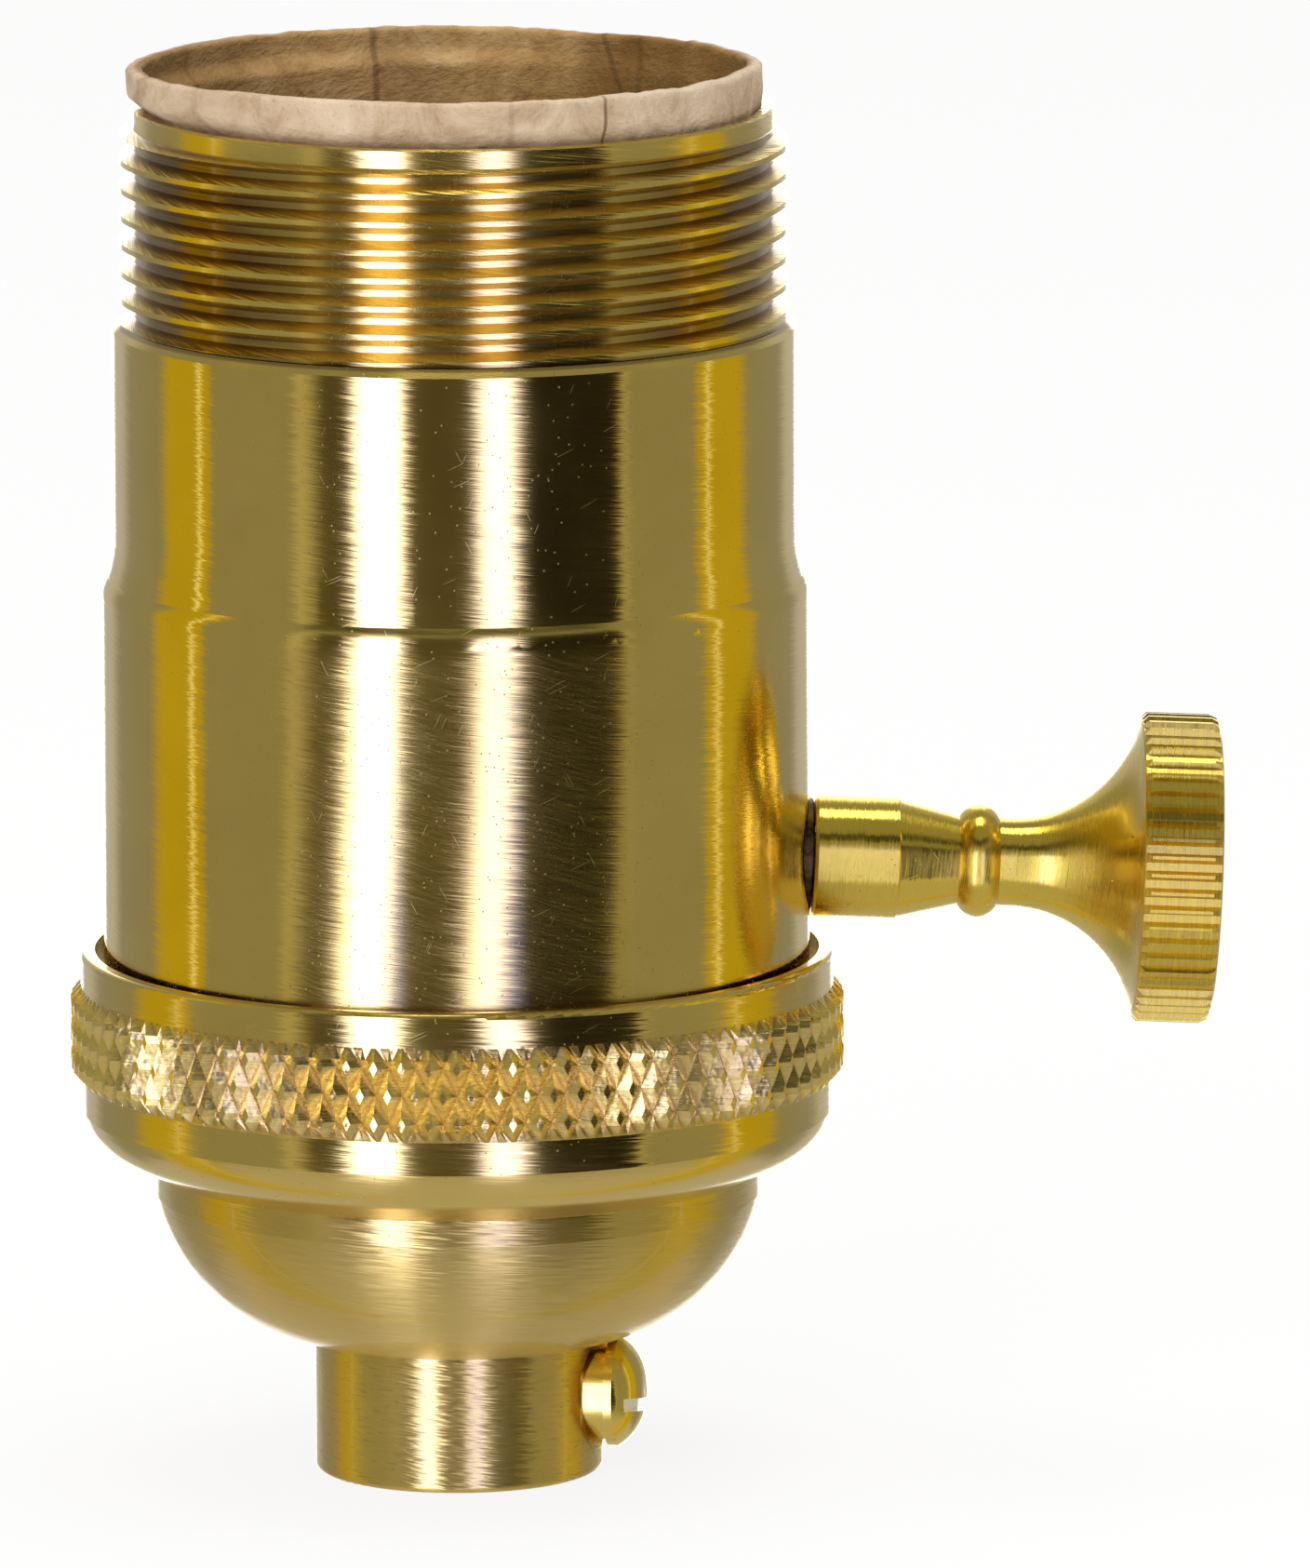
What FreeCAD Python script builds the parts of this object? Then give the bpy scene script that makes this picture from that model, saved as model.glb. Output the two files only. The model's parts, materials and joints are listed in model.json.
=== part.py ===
import FreeCAD, Part
import math
import os

from FreeCAD import Vector

# A turn-knob lamp holder in turned brass for a medium (26 mm) screw-base lamp. Millimetres.
# Z runs up the holder from the bottom face of its hub, and the knob points along +X.

# Fits
close_fit = 0.03           # radial clearance of pieces that only slide together once
running_fit = 0.05         # radial clearance of a shaft or screw that turns
easy_fit = 0.2             # radial clearance of moulded and paper pieces

# Cap: hub, bowl and knurled ring, turned in one piece
hub_radius = 8.22
hub_height = 7.83
hub_edge = 0.4
pipe_bore_radius = 4.6     # minor radius of the 1/8-27 pipe thread
hub_web = 1.4              # floor of the bowl over the hub
bowl_height = 8.29         # rise of the bowl's curve above the hub
bowl_crown = 2.0           # bulge of that curve past its chord
bowl_inner_crown = 1.65    # bulge of the curve on the inside
bowl_neck = 1.48           # straight wall above the curve
bowl_wall = 1.32
cap_shoulder_rise = 0.97   # slope of the underside of the ring
cap_shoulder_round = 2.09
cap_shoulder_crown = 0.42
cap_shoulder_height = 2.43
cap_ring_height = 1.9      # plain ring below the knurl
cap_rim_height = 2.0       # plain ring above the knurl
cap_rim_wall = 0.82
cap_rim_step = 0.11        # the rim is this much wider than the ring
cap_rim_edge = 0.35
cap_rim_gap = 0.5          # recess between the rim and the shell
cap_rim_gap_depth = 1.5
cap_ledge_seat = 0.42      # width of the ledge under the switch body
cap_ledge_drop = 0.1       # ledge below the top of the shoulder

# Diamond knurl round the cap
knurl_stand = 0.68         # height of the band above the ring
knurl_land = 4.0           # width of the band's cylinder
knurl_columns = 88
knurl_rise = 3.19          # height of one whole diamond
knurl_depth = 0.5
knurl_flat = 0.28          # share of each diamond that keeps the turned surface
knurl_foot = 0.06          # step where the band's chamfer meets the ring

# Set screw of the hub
set_screw_radius = 2.85
set_screw_pitch = 25.4 / 32
set_screw_crest_flat = 0.14
set_screw_root_flat = 0.12
set_screw_thread_angle = 60.0
set_screw_relief = 0.45    # plain neck between the thread and the head
set_screw_angle = -12.0    # degrees from the knob
set_screw_height = 4.65
set_screw_open = 1.25      # thread showing under the head
set_screw_head_radius = 3.18
set_screw_head_edge = 0.5
set_screw_head_height = 1.95
set_screw_head_lift = 0.5  # bulge of the head's dome past its chord
set_screw_point = 0.68     # chamfer of the tip
set_screw_slot = 0.75
set_screw_slot_depth = 0.8
set_screw_slot_offset = 0.7
set_screw_slot_tilt = 8.0
spot_face_depth = 0.62

# Shell
shell_wall = 1.75
shell_body_height = 29.7   # from the ledge to the step
shell_step = 0.7           # the body is this much wider than the barrel
shell_step_crown = 0.12
shell_step_height = 4.0
shell_barrel_height = 11.4  # plain barrel between the step and the thread
shell_shoulder = 0.45      # the barrel is this much wider than the thread
shell_chamfer = 0.55       # under the thread
shell_upper_wall = 1.95
shell_lip_height = 1.5
shell_lip_edge = 0.12
shell_hole_gap = 0.92      # round the knob's shaft

# Ring thread round the top of the shell, 16 to the inch
thread_crest = 19.0
thread_pitch = 25.4 / 16
thread_crest_flat = 0.3
thread_root_flat = 0.364
thread_angle = 60.0
thread_length = 10.7
thread_start = 0.4         # first root above the shoulder
thread_phase = 150.0       # degrees round the shell where the groove starts

# Paper liner
liner_wall = 0.9
liner_proud = 2.65
liner_flare = 0.6
liner_bend = 0.9           # height of the flare's bend
liner_round = 0.35
liner_hole_gap = 0.3       # past the hole in the shell

# Paper cup in the bowl of the cap
cup_wall = 0.6
cup_drop = 0.75            # rim of the cup below the ledge
cup_hole_gap = 0.6         # past the pipe's bore

# Switch body and its cover, moulded
wire_room_gap = 1.3        # past the heads of the long rivets
wire_room_height = 4.1
cover_height = 3.0
pocket_gap = 1.0           # past each side of a terminal plate
pocket_wall = 1.21         # between a terminal pocket and the rivet behind it
chamber_clearance = 0.5
chamber_end = 0.5
terminal_slot_gap = 1.4    # over and under the hot terminal's tab

# Knob axis and rotor
knob_rise = 15.36          # knob's axis above the ledge
knob_droop = 2.64          # degrees that the knob hangs below level
rotor_radius = 5.2
rotor_half_length = 4.0
boss_step = 0.675          # corners of the square boss inside the drum
boss_length = 1.6
shaft_radius = 2.08
shaft_in_knob = 6.0
bushing_wall = 0.8
bushing_flange = 0.9
bushing_flange_thickness = 0.6
bushing_recess = 0.2       # the bushing ends this far inside the body

# Electrical parts
sheet_thickness = 0.6
blade_thickness = 0.4
blade_gap = 0.3            # blades stand off the turning drum
blade_width = 3.0
blade_room = 2.04          # from the drum to the cover
plate_half_width = 4.5
plate_rise = 1.0           # plates start this far above the pocket's floor
terminal_screw_radius = 1.6
terminal_screw_length = 4.0
terminal_screw_head = 3.0
terminal_screw_head_height = 1.8
terminal_screw_head_edge = 0.6
terminal_screw_slot = 0.8
terminal_screw_slot_depth = 0.9
terminal_screw_rise = 9.1  # above the ledge
detent_thickness = 0.3
detent_half_angle = 50.0
detent_foot_angle = 49.0
detent_side = 0.2
contact_overlap = 10.0     # degrees of segment past each blade

# Screw shell for the lamp, 7 to the inch
lamp_major_radius = 13.3
lamp_thread_depth = 0.85
lamp_pitch = 25.4 / 7
lamp_sheet = 0.3
lamp_shell_height = 28.0
lamp_base_height = 4.2     # plain stretch below the thread
lamp_rim_height = 1.6      # plain stretch above the thread
lamp_room_relief = 0.05    # both plain stretches are this much wider inside
lamp_flange_gap = 0.3      # round the centre contact
lamp_base_sheet = 0.4
contact_rise = 3.6
contact_dip = 0.7          # ends of the crowned tip below its middle
contact_width = 4.0

# Rivets
long_rivet_radius = 1.1
long_rivet_gap = 0.55      # from the head to the lamp thread
long_rivet_angle = 60.0
rivet_head_radius = 1.9
rivet_head_height = 0.6
contact_rivet_radius = 0.9
contact_rivet_place = 3.8  # distance from the axis
contact_rivet_head = 1.4
contact_rivet_head_height = 0.4

# Knob, measured along its own axis from the holder's axis
knob_gap = 0.2             # from the shell to the end of the stem
knob_stem_radius = 3.48
knob_stem_length = 4.8
knob_stem_edge = 0.18
knob_taper_start = 3.4
knob_taper_length = 3.43
knob_neck_radius = 2.53
knob_bead_radius = 3.26
knob_bead_length = 2.3
knob_waist_length = 0.9
knob_flare_length = 6.9
knob_flare_crown = 1.62
knob_rim_radius = 8.83
knob_rim_edge_back = 0.4
knob_rim_edge_front = 0.5
knob_rim_width = 4.5
knob_dome = 0.35
flute_count = 54
flute_depth = 0.32
flute_floor = 0.46         # share of the pitch
flute_top = 0.18           # share of the pitch

# Heights and radii that follow from the sizes above
full_turn = 360.0
axis_z = Vector(0, 0, 1)
origin = Vector(0, 0, 0)
reach = 4 * thread_crest   # longer than any cut through the holder
flank_slope = math.tan(math.radians(thread_angle / 2))
thread_depth = (thread_pitch - thread_crest_flat - thread_root_flat) / 2 / flank_slope
contact_corner = math.hypot(contact_rivet_place + contact_width / 2, contact_width / 2)

# Radii, from the thread inwards and outwards
thread_root = thread_crest - thread_depth
barrel_radius = thread_crest + shell_shoulder
shell_radius = barrel_radius + shell_step
upper_bore = barrel_radius - shell_upper_wall
liner_radius = upper_bore - running_fit
liner_inside = liner_radius - liner_wall
body_radius = liner_inside - easy_fit
ledge_radius = shell_radius + close_fit
rim_radius = ledge_radius + cap_rim_gap + cap_rim_wall
cap_radius = rim_radius - cap_rim_step
bowl_inside = body_radius - cap_ledge_seat
bowl_radius = bowl_inside + bowl_wall
spot_face = hub_radius - spot_face_depth
lamp_minor_radius = lamp_major_radius - lamp_thread_depth
lamp_flange_hole = contact_corner + lamp_flange_gap
long_rivet_circle = lamp_minor_radius - long_rivet_gap - rivet_head_radius
wire_room_radius = long_rivet_circle + rivet_head_radius + wire_room_gap

# Heights
bowl_top = hub_height + bowl_height
ring_bottom = bowl_top + bowl_neck
shoulder_foot = ring_bottom + cap_shoulder_rise
shoulder_top = shoulder_foot + cap_shoulder_height
ledge = shoulder_top - cap_ledge_drop
knurl_bottom = shoulder_top + cap_ring_height
knurl_top = knurl_bottom + 2 * knurl_stand + knurl_land
cap_top = knurl_top + cap_rim_height
cap_floor = hub_height + hub_web
step_bottom = ledge + shell_body_height
step_top = step_bottom + shell_step_height
barrel_top = step_top + shell_barrel_height
thread_bottom = barrel_top + shell_chamfer
thread_top = thread_bottom + thread_length
shell_top = thread_top + shell_lip_height
knob_axis_height = ledge + knob_rise
terminal_screw_height = ledge + terminal_screw_rise
room_top = ledge + wire_room_height
body_top = knob_axis_height + rotor_radius + blade_room
cover_top = body_top + cover_height
flange_top = cover_top + lamp_base_sheet
lamp_rim = cover_top + lamp_shell_height

# Places along the knob's axis and across it
boss_corner = rotor_radius - boss_step
boss_end = rotor_half_length + boss_length
bushing_start = boss_end + chamber_end
bushing_bore = shaft_radius + running_fit
bushing_outside = bushing_bore + bushing_wall
chamber_radius = rotor_radius + chamber_clearance
shell_hole_radius = shaft_radius + shell_hole_gap
pocket_half_width = plate_half_width + pocket_gap
rivet_across = long_rivet_circle * math.sin(math.radians(long_rivet_angle))
pocket_floor = rivet_across + long_rivet_radius + close_fit + pocket_wall
knob_start = shell_radius + knob_gap


def in_plane(point):
    """Point of an outline: the first number is along X, the second along Z."""
    return Vector(point[0], 0, point[1])


def outline(*path):
    """Face in the XZ plane. A step is the next point, or (via, end) for an arc."""
    edges = []
    here = in_plane(path[0])
    for step in path[1:] + (path[0],):
        if isinstance(step[0], tuple):
            end = in_plane(step[1])
            edges.append(Part.Arc(here, in_plane(step[0]), end).toShape())
        else:
            end = in_plane(step)
            edges.append(Part.makeLine(here, end))
        here = end
    return Part.Face(Part.Wire(edges))


def bowed(start, end, crown):
    """Arc step from start to end that stands crown to the right of the chord."""
    along = (end[0] - start[0], end[1] - start[1])
    chord = math.hypot(*along)
    middle = ((start[0] + end[0]) / 2, (start[1] + end[1]) / 2)
    via = (middle[0] + along[1] / chord * crown, middle[1] - along[0] / chord * crown)
    return via, end


def rounded(start, end):
    """Quarter-round step between two points, bulging to the right of the chord."""
    chord = math.hypot(end[0] - start[0], end[1] - start[1])
    return bowed(start, end, chord * (math.sqrt(2) - 1) / 2)


def turned(*path):
    return outline(*path).revolve(origin, axis_z, full_turn)


def turned_along_knob(*path):
    """Revolved about the knob's axis. Points are (distance along it, radius)."""
    return on_knob_axis(outline(*path).revolve(origin, Vector(1, 0, 0), full_turn))


def on_knob_axis(shape):
    """Moves a shape made along the X axis onto the drooping axis of the knob."""
    shape = shape.copy()
    shape.rotate(origin, Vector(0, 1, 0), knob_droop)
    shape.translate(Vector(0, 0, knob_axis_height))
    return shape


def on_set_screw_axis(shape):
    """Moves a shape made along the X axis onto the axis of the set screw."""
    shape = shape.copy()
    shape.rotate(origin, axis_z, set_screw_angle)
    shape.translate(Vector(0, 0, set_screw_height))
    return shape


def rod(radius, start, end, direction=axis_z):
    """Cylinder along a direction through the origin, from start to end."""
    return Part.makeCylinder(radius, end - start, direction * start, direction)


def block(x_range, y_range, z_range):
    low = Vector(x_range[0], y_range[0], z_range[0])
    return Part.makeBox(x_range[1] - low.x, y_range[1] - low.y, z_range[1] - low.z, low)


def bent_strip(path, thickness, width):
    """Strip of sheet bent in the XZ plane: path is its middle line, width runs along Y."""
    points = [in_plane(p) for p in path]
    runs = [(b - a).normalize() for a, b in zip(points, points[1:])]
    sides = [Vector(-r.z, 0, r.x) for r in runs]
    sides = [sides[0]] + sides + [sides[-1]]
    offsets = [(a + b) / (1 + a.dot(b)) * (thickness / 2) for a, b in zip(sides, sides[1:])]
    upper = [p + o for p, o in zip(points, offsets)]
    lower = [p - o for p, o in zip(points, offsets)]
    face = Part.Face(Part.makePolygon(upper + lower[::-1] + upper[:1]))
    face.translate(Vector(0, -width / 2, 0))
    return face.extrude(Vector(0, width, 0))


def helical_groove(radius, bottom, turns, pitch, points):
    """Solid swept up a right-hand helix. Points are (radius, height from the helix)."""
    helix = Part.makeHelix(pitch, pitch * turns, radius)
    helix.translate(Vector(0, 0, bottom))
    corners = [Vector(r, 0, bottom + h) for r, h in points]
    sweep = Part.BRepOffsetAPI.MakePipeShell(Part.Wire(helix.Edges))
    sweep.setBiNormalMode(axis_z)
    sweep.add(Part.makePolygon(corners + corners[:1]), False, False)
    sweep.build()
    sweep.makeSolid()
    return sweep.shape()


# Knurl. A diamond is a flat with four bevelled walls down to the grooves round it.
# Positions on the band are (columns round, diamonds up, share of the groove's depth).

def diamond(column, row):
    """Five patches: the flat and its walls."""
    quarter = [(0.5, 0), (0, 0.5), (-0.5, 0), (0, -0.5)]
    top = [(column + u * knurl_flat, row + v * knurl_flat, 0) for u, v in quarter]
    foot = [(column + u, row + v, 1) for u, v in quarter]
    walls = [[top[i], foot[i], foot[i - 3], top[i - 3]] for i in range(4)]
    return [top] + walls


def trimmed(patch, height, keep_above):
    """The part of a convex patch above or below a height on the band."""
    side = 1 if keep_above else -1
    kept = []
    for a, b in zip(patch, patch[1:] + patch[:1]):
        a_in = side * (a[1] - height) >= 0
        b_in = side * (b[1] - height) >= 0
        if a_in:
            kept.append(a)
        if a_in != b_in:
            low, high = sorted((a, b), key=lambda p: p[1])
            part = (height - low[1]) / (high[1] - low[1])
            kept.append(tuple(p + (q - p) * part for p, q in zip(low, high)))
    return kept if len(set((round(p[0], 9), round(p[1], 9)) for p in kept)) > 2 else []


def knurl_point(place):
    """Point of the band's surface: the grooves run out over its chamfers."""
    middle = (knurl_bottom + knurl_top) / 2
    height = middle + place[1] * knurl_rise
    over = max(0, abs(height - middle) - knurl_land / 2) / knurl_stand
    stand = knurl_stand - (knurl_stand - knurl_foot) * over
    radius = cap_radius + stand - knurl_depth * place[2] * (1 - over)
    angle = 2 * math.pi * place[0] / knurl_columns
    return tuple(round(c, 6) for c in (radius * math.cos(angle), radius * math.sin(angle), height))


def knurl_triangles():
    half = (knurl_land / 2 + knurl_stand) / knurl_rise
    levels = [-half, -knurl_land / 2 / knurl_rise, knurl_land / 2 / knurl_rise, half]
    rows = range(-math.ceil(2 * half) - 1, math.ceil(2 * half) + 2)
    patches = []
    for row in rows:
        shift = 0.5 if row % 2 else 0
        for patch in diamond(shift, row / 2):
            for low, high in zip(levels, levels[1:]):
                piece = trimmed(patch, low, True)
                piece = trimmed(piece, high, False) if piece else []
                if piece:
                    patches.append(piece)
    for column in range(knurl_columns):
        for patch in patches:
            ring = [knurl_point((p[0] + column, p[1], p[2])) for p in patch]
            ring = [p for i, p in enumerate(ring) if p != ring[i - 1]]
            for i in range(1, len(ring) - 1):
                yield ring[0], ring[i], ring[i + 1]


def knurled_disc():
    """Solid disc with the knurled band as its edge."""
    walls = [Part.Face(Part.makePolygon([Vector(*p) for p in t + t[:1]])) for t in knurl_triangles()]
    ends = []
    for height in (knurl_bottom, knurl_top):
        level = round(height, 6)
        corners = {p for t in knurl_triangles() for p in t if abs(p[2] - level) < 1e-5}
        around = sorted(corners, key=lambda p: math.atan2(p[1], p[0]))
        loop = [Vector(*p) for p in around]
        ends.append(Part.Face(Part.makePolygon(loop + loop[:1])))
    shell = Part.Compound(walls + ends)
    shell.sewShape()
    return Part.Solid(shell.Shells[0])


def make_cap():
    foot = (cap_radius - cap_shoulder_round, shoulder_foot)
    lower = turned(
        (0, 0),
        (hub_radius - hub_edge, 0),
        rounded((hub_radius - hub_edge, 0), (hub_radius, hub_edge)),
        (hub_radius, hub_height),
        bowed((hub_radius, hub_height), (bowl_radius, bowl_top), bowl_crown),
        (bowl_radius, ring_bottom),
        foot,
        bowed(foot, (cap_radius, shoulder_top), cap_shoulder_crown),
        (cap_radius, knurl_bottom),
        (0, knurl_bottom),
    )
    rim = turned(
        (0, knurl_top),
        (rim_radius, knurl_top),
        (rim_radius, cap_top - cap_rim_edge),
        rounded((rim_radius, cap_top - cap_rim_edge), (rim_radius - cap_rim_edge, cap_top)),
        (0, cap_top),
    )
    floor_edge = (hub_radius, cap_floor)
    wall_foot = (bowl_inside, bowl_top)
    inside = turned(
        (0, -1),
        (pipe_bore_radius, -1),
        (pipe_bore_radius, cap_floor),
        floor_edge,
        bowed(floor_edge, wall_foot, bowl_inner_crown),
        (bowl_inside, ledge),
        (ledge_radius, ledge),
        (ledge_radius, cap_top - cap_rim_gap_depth),
        (ledge_radius + cap_rim_gap, cap_top - cap_rim_gap_depth),
        (ledge_radius + cap_rim_gap, cap_top + 1),
        (0, cap_top + 1),
    )
    along = Vector(1, 0, 0)
    screw_hole = on_set_screw_axis(rod(set_screw_radius + running_fit, 0, hub_radius + 1, along))
    spot = on_set_screw_axis(rod(set_screw_head_radius + easy_fit, spot_face, reach, along))
    return lower.fuse([knurled_disc(), rim]).cut([inside, screw_hole, spot]).removeSplitter()


def set_screw_groove(tip, head_start):
    """Thread groove from beyond the tip to the neck under the head."""
    slope = math.tan(math.radians(set_screw_thread_angle / 2))
    open_height = (set_screw_pitch - set_screw_crest_flat - set_screw_root_flat) / 2
    root = set_screw_radius - open_height / slope
    beyond = set_screw_crest_flat / 2
    root_half = set_screw_root_flat / 2
    open_half = root_half + open_height + beyond * slope
    start = tip - set_screw_pitch
    groove = helical_groove(
        root,
        start,
        (head_start - set_screw_relief - start) / set_screw_pitch,
        set_screw_pitch,
        (
            (root, -root_half),
            (set_screw_radius + beyond, -open_half),
            (set_screw_radius + beyond, open_half),
            (root, root_half),
        ),
    )
    groove.rotate(origin, Vector(0, 1, 0), 90)
    return groove


def make_set_screw():
    head_start = spot_face + set_screw_open
    head_end = head_start + set_screw_head_height
    tip = pipe_bore_radius + close_fit
    shoulder = (head_start + set_screw_head_edge, set_screw_head_radius)
    dome = (head_end, 0)
    screw = outline(
        (tip, 0),
        dome,
        bowed(dome, shoulder, set_screw_head_lift),
        (head_start, set_screw_head_radius),
        (head_start, set_screw_radius),
        (tip + set_screw_point, set_screw_radius),
        (tip, set_screw_radius - set_screw_point),
    ).revolve(origin, Vector(1, 0, 0), full_turn)
    slot = block(
        (head_end - set_screw_slot_depth, head_end + 1),
        (-reach, reach),
        (-set_screw_slot_offset - set_screw_slot / 2, -set_screw_slot_offset + set_screw_slot / 2),
    )
    slot.rotate(origin, Vector(1, 0, 0), -set_screw_slot_tilt)
    return on_set_screw_axis(screw.cut([slot, set_screw_groove(tip, head_start)]))


def make_shell():
    body_bore = shell_radius - shell_wall
    lip_radius = thread_root + close_fit
    middle = ((shell_radius + barrel_radius) / 2, (step_bottom + step_top) / 2 - shell_step)
    blank = turned(
        (body_bore, ledge),
        (shell_radius, ledge),
        (shell_radius, step_bottom),
        bowed((shell_radius, step_bottom), middle, shell_step_crown),
        bowed(middle, (barrel_radius, step_top), -shell_step_crown),
        (barrel_radius, barrel_top),
        (barrel_radius - shell_chamfer, thread_bottom),
        (thread_crest, thread_bottom),
        (thread_crest, thread_top),
        (lip_radius, thread_top + (thread_crest - lip_radius) / 2),
        (lip_radius, shell_top - shell_lip_edge),
        (lip_radius - shell_lip_edge, shell_top),
        (upper_bore, shell_top),
        (upper_bore, step_top),
        (body_bore, step_bottom),
    )
    root_half = thread_root_flat / 2
    beyond = thread_crest_flat / 2
    open_half = root_half + (thread_depth + beyond) * flank_slope
    groove = helical_groove(
        thread_root,
        thread_bottom + thread_start,
        thread_length / thread_pitch,
        thread_pitch,
        (
            (thread_root, -root_half),
            (thread_crest + beyond, -open_half),
            (thread_crest + beyond, open_half),
            (thread_root, root_half),
        ),
    )
    groove.rotate(origin, axis_z, thread_phase)
    hole = on_knob_axis(rod(shell_hole_radius, 0, reach, Vector(1, 0, 0)))
    return blank.cut([groove, hole])


def make_liner():
    flared = liner_radius + liner_flare
    top = shell_top + liner_proud
    tube = turned(
        (liner_inside, ledge),
        (liner_radius, ledge),
        (liner_radius, shell_top),
        (flared, shell_top + liner_bend / 3),
        (flared, top - liner_round),
        rounded((flared, top - liner_round), (flared - liner_round, top)),
        (flared - liner_wall + liner_round, top),
        rounded((flared - liner_wall + liner_round, top), (flared - liner_wall, top - liner_round)),
        (flared - liner_wall, shell_top + liner_bend / 2),
        (liner_inside, shell_top - liner_bend / 2),
    )
    hole_radius = shell_hole_radius + liner_hole_gap
    return tube.cut(on_knob_axis(rod(hole_radius, 0, reach, Vector(1, 0, 0))))


def make_cap_insulator():
    outside = bowl_inside - easy_fit
    inside = outside - cup_wall
    corner = hub_radius - easy_fit
    floor = cap_floor + cup_wall
    crown = bowl_inner_crown - easy_fit / 2
    top = ledge - cup_drop
    hole_radius = pipe_bore_radius + cup_hole_gap
    return turned(
        (hole_radius, cap_floor),
        (corner, cap_floor),
        bowed((corner, cap_floor), (outside, bowl_top), crown),
        (outside, top),
        (inside, top),
        (inside, bowl_top),
        bowed((inside, bowl_top), (corner - cup_wall, floor), -crown + cup_wall / 2),
        (hole_radius, floor),
    )


def rivet_places():
    """The two long rivets stand opposite each other."""
    for turn in (0, 180):
        angle = math.radians(long_rivet_angle + turn)
        yield long_rivet_circle * Vector(math.cos(angle), math.sin(angle), 0)


def rivet_holes(bottom, top):
    return [rod(long_rivet_radius + close_fit, bottom, top).translate(p) for p in rivet_places()]


def make_switch_body():
    along = Vector(1, 0, 0)
    middle = knob_axis_height
    slot_half_height = sheet_thickness / 2 + terminal_slot_gap
    reliefs = [
        rod(wire_room_radius, ledge, room_top),
        on_knob_axis(rod(chamber_radius, -rotor_half_length - chamber_end, bushing_start, along)),
        block(
            (-rotor_half_length - chamber_end - 1, bushing_start),
            (-chamber_radius, chamber_radius),
            (middle, body_top),
        ),
        on_knob_axis(rod(bushing_outside + close_fit, 0, reach, along)),
        on_knob_axis(
            rod(
                bushing_outside + bushing_flange + close_fit,
                bushing_start,
                bushing_start + bushing_flange_thickness,
                along,
            )
        ),
        block(
            (-blade_width / 2 - easy_fit, blade_width / 2 + easy_fit),
            (0, pocket_floor),
            (middle - slot_half_height, middle + slot_half_height),
        ),
    ]
    for side in (-1, 1):
        pocket = block(
            (-pocket_half_width, pocket_half_width),
            (pocket_floor, reach),
            (room_top, body_top),
        )
        screw_hole = rod(
            terminal_screw_radius + close_fit,
            pocket_floor - terminal_screw_length,
            pocket_floor,
            Vector(0, 1, 0),
        ).translate(Vector(0, 0, terminal_screw_height))
        for relief in (pocket, screw_hole):
            reliefs.append(relief if side > 0 else relief.mirror(origin, Vector(0, 1, 0)))
    blank = rod(body_radius, ledge, body_top)
    return blank.cut(reliefs + rivet_holes(room_top, body_top))


def strap_leg():
    """Top leg of the neutral strap: it lies in the cover, under the lamp shell's flange."""
    far = long_rivet_circle * math.cos(math.radians(long_rivet_angle)) + rivet_head_radius
    return block(
        (-far, plate_half_width),
        (-pocket_floor - sheet_thickness, -lamp_flange_hole - blade_gap),
        (cover_top - sheet_thickness, cover_top),
    )


def make_switch_cover():
    notch = block(
        (-pocket_half_width, pocket_half_width), (-reach, -pocket_floor), (body_top, cover_top)
    )
    contact_hole = rod(contact_rivet_radius + close_fit, body_top, cover_top)
    contact_hole.translate(Vector(-contact_rivet_place, 0, 0))
    cuts = [notch, strap_leg(), contact_hole] + rivet_holes(body_top, cover_top)
    return rod(body_radius, body_top, cover_top).cut(cuts)


def terminal_plate(side, top):
    y_range = sorted((side * pocket_floor, side * (pocket_floor + sheet_thickness)))
    plate = block(
        (-plate_half_width, plate_half_width), y_range, (room_top + plate_rise, top)
    )
    hole = rod(terminal_screw_radius + close_fit, -reach, reach, Vector(0, 1, 0))
    hole.translate(Vector(0, 0, terminal_screw_height))
    return plate.cut(hole)


def make_hot_terminal():
    tab = block(
        (-blade_width / 2, blade_width / 2),
        (rotor_radius + blade_gap, pocket_floor),
        (knob_axis_height - sheet_thickness / 2, knob_axis_height + sheet_thickness / 2),
    )
    return terminal_plate(1, body_top - plate_rise).fuse(tab).removeSplitter()


def make_neutral_terminal():
    leg = strap_leg().cut(rivet_holes(body_top, cover_top))
    return terminal_plate(-1, cover_top).fuse(leg).removeSplitter()


def make_terminal_screw(side):
    seat = pocket_floor + sheet_thickness
    crown = seat + terminal_screw_head_height
    shoulder = crown - terminal_screw_head_edge
    screw = outline(
        (seat - terminal_screw_length, 0),
        (crown, 0),
        (crown, terminal_screw_head - terminal_screw_head_edge),
        rounded(
            (crown, terminal_screw_head - terminal_screw_head_edge), (shoulder, terminal_screw_head)
        ),
        (seat, terminal_screw_head),
        (seat, terminal_screw_radius),
        (seat - terminal_screw_length, terminal_screw_radius),
    ).revolve(origin, Vector(1, 0, 0), full_turn)
    slot = block(
        (crown - terminal_screw_slot_depth, reach),
        (-reach, reach),
        (-terminal_screw_slot / 2, terminal_screw_slot / 2),
    )
    screw = screw.cut(slot)
    screw.rotate(origin, axis_z, side * 90)
    screw.translate(Vector(0, 0, terminal_screw_height))
    return screw


def make_lamp_blade():
    top = body_top - blade_thickness / 2
    tip = knob_axis_height + rotor_radius + blade_gap + blade_thickness / 2
    place = contact_rivet_place
    strip = bent_strip(
        (
            (-place - blade_width / 2, top),
            (-place + blade_width / 2, top),
            (0, tip),
            (blade_width / 2, tip),
        ),
        blade_thickness,
        blade_width,
    )
    hole = rod(contact_rivet_radius + close_fit, 0, reach).translate(Vector(-place, 0, 0))
    return strip.cut(hole)


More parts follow.
